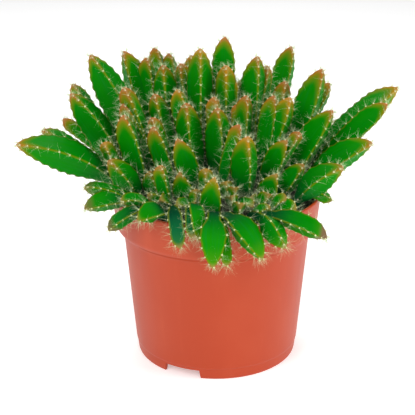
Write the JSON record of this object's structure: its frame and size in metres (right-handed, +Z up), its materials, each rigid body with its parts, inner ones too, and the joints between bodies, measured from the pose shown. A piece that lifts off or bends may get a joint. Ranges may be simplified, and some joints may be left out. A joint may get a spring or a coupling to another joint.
{
  "type": "potted dragon fruit cactus",
  "caption": "Young three-ribbed cactus stems with needles crowded in peat in a tapered round plastic nursery pot with a collar and a notched foot.",
  "frame": {"origin": "on the pot's axis, at the height of the foot ring that it stands on", "axes": "+Z up along the pot's axis, -Y towards the front, where stems hang over the rim, +X to the right seen from the front"},
  "size_m": [0.2232, 0.1551, 0.1815],
  "materials": {
    "terracotta_plastic": "satin terracotta orange, moulded",
    "peat": "matte dark brown, crumbly",
    "cactus_flesh": "satin green skin with pale wool tufts, white bristles and orange-brown rib edges"
  },
  "bodies": {
    "root": {"pot": "terracotta_plastic", "soil": "peat", "plant_01": "cactus_flesh", "plant_02": "cactus_flesh", "plant_03": "cactus_flesh", "plant_04": "cactus_flesh", "plant_05": "cactus_flesh", "plant_06": "cactus_flesh", "plant_07": "cactus_flesh", "plant_08": "cactus_flesh", "plant_09": "cactus_flesh", "plant_10": "cactus_flesh", "plant_11": "cactus_flesh", "plant_12": "cactus_flesh", "plant_13": "cactus_flesh", "plant_14": "cactus_flesh", "plant_15": "cactus_flesh", "plant_16": "cactus_flesh", "plant_17": "cactus_flesh", "plant_18": "cactus_flesh", "plant_19": "cactus_flesh", "plant_20": "cactus_flesh", "plant_21": "cactus_flesh", "plant_22": "cactus_flesh", "plant_23": "cactus_flesh", "plant_24": "cactus_flesh", "plant_25": "cactus_flesh", "plant_26": "cactus_flesh", "plant_27": "cactus_flesh", "plant_28": "cactus_flesh", "plant_29": "cactus_flesh", "plant_30": "cactus_flesh", "plant_31": "cactus_flesh", "plant_32": "cactus_flesh", "plant_33": "cactus_flesh", "plant_34": "cactus_flesh", "plant_35": "cactus_flesh", "plant_36": "cactus_flesh", "plant_37": "cactus_flesh", "plant_38": "cactus_flesh", "plant_39": "cactus_flesh", "plant_40": "cactus_flesh", "plant_41": "cactus_flesh", "plant_42": "cactus_flesh", "plant_43": "cactus_flesh", "plant_44": "cactus_flesh", "plant_45": "cactus_flesh", "plant_46": "cactus_flesh", "plant_47": "cactus_flesh", "plant_48": "cactus_flesh", "plant_49": "cactus_flesh", "plant_50": "cactus_flesh", "plant_51": "cactus_flesh", "plant_52": "cactus_flesh", "plant_53": "cactus_flesh", "plant_54": "cactus_flesh", "plant_55": "cactus_flesh", "plant_56": "cactus_flesh", "plant_57": "cactus_flesh", "plant_58": "cactus_flesh"}
  },
  "joints": []
}
